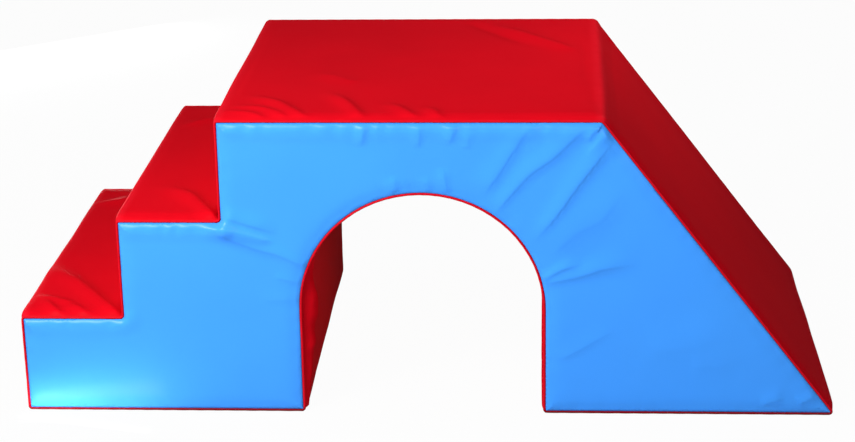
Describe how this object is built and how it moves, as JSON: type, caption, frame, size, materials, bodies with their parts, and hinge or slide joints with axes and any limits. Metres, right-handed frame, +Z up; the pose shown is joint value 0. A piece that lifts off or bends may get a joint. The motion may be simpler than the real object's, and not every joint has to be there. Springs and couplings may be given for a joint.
{
  "type": "foam climbing block with steps, tunnel and slope",
  "caption": "Soft foam climbing block with steps up to a flat deck, a steep slope down and an arched crawl-through tunnel, in a sewn vinyl cover with piped edges and zipped bases.",
  "frame": {"origin": "on the floor, under the middle of the block's box", "axes": "+X along the block from the steps to the slope, +Y across it to the back, +Z up"},
  "size_m": [1.9847, 1, 0.75],
  "materials": {
    "blue_cover": "semi-gloss PVC-coated cloth",
    "red_cover": "semi-gloss PVC-coated cloth",
    "piping": "PVC-covered piping cord",
    "base_cloth": "matt non-slip cloth",
    "foam": "cut polyurethane foam",
    "zip_tape": "woven tape",
    "zip_coil": "nylon coil",
    "zip_metal": "nickel-plated zinc alloy"
  },
  "bodies": {
    "block": {"front_side_panel": "blue_cover", "back_side_panel": "blue_cover", "front_piping": "piping", "back_piping": "piping", "lower_step_cover": "red_cover", "upper_step_cover": "red_cover", "deck_and_slope_cover": "red_cover", "tunnel_lining": "red_cover", "step_base_toe_panel": "base_cloth", "step_base_heel_panel": "base_cloth", "slope_base_heel_panel": "base_cloth", "slope_base_toe_panel": "base_cloth", "lower_step_foam": "foam", "upper_step_foam": "foam", "deck_foam": "foam", "upper_slope_foam": "foam", "lower_slope_foam": "foam", "step_zip_left_tape": "zip_tape", "step_zip_right_tape": "zip_tape", "step_zip_left_coil": "zip_coil", "step_zip_right_coil": "zip_coil", "step_zip_bottom_stop": "zip_metal", "step_zip_top_stop": "zip_metal", "slope_zip_left_tape": "zip_tape", "slope_zip_right_tape": "zip_tape", "slope_zip_left_coil": "zip_coil", "slope_zip_right_coil": "zip_coil", "slope_zip_bottom_stop": "zip_metal", "slope_zip_top_stop": "zip_metal"},
    "step_slider": {"step_zip_slider": "zip_metal"},
    "step_tab": {"step_zip_pull_tab": "zip_metal"},
    "slope_slider": {"slope_zip_slider": "zip_metal"},
    "slope_tab": {"slope_zip_pull_tab": "zip_metal"}
  },
  "joints": [
    {"name": "step_zip_open", "type": "slide", "parent": "block", "child": "step_slider", "axis": [0, -1, 0], "range_m": [0, 0.81]},
    {"name": "step_tab_swing", "type": "hinge", "parent": "step_slider", "child": "step_tab", "pos_m": [-0.64487, 0.4174, 0.00185], "axis": [1, 0, 0], "range_deg": [0, 150]},
    {"name": "slope_zip_open", "type": "slide", "parent": "block", "child": "slope_slider", "axis": [0, -1, 0], "range_m": [0, 0.81]},
    {"name": "slope_tab_swing", "type": "hinge", "parent": "slope_slider", "child": "slope_tab", "pos_m": [0.6395, 0.4174, 0.00185], "axis": [1, 0, 0], "range_deg": [0, 150]}
  ]
}
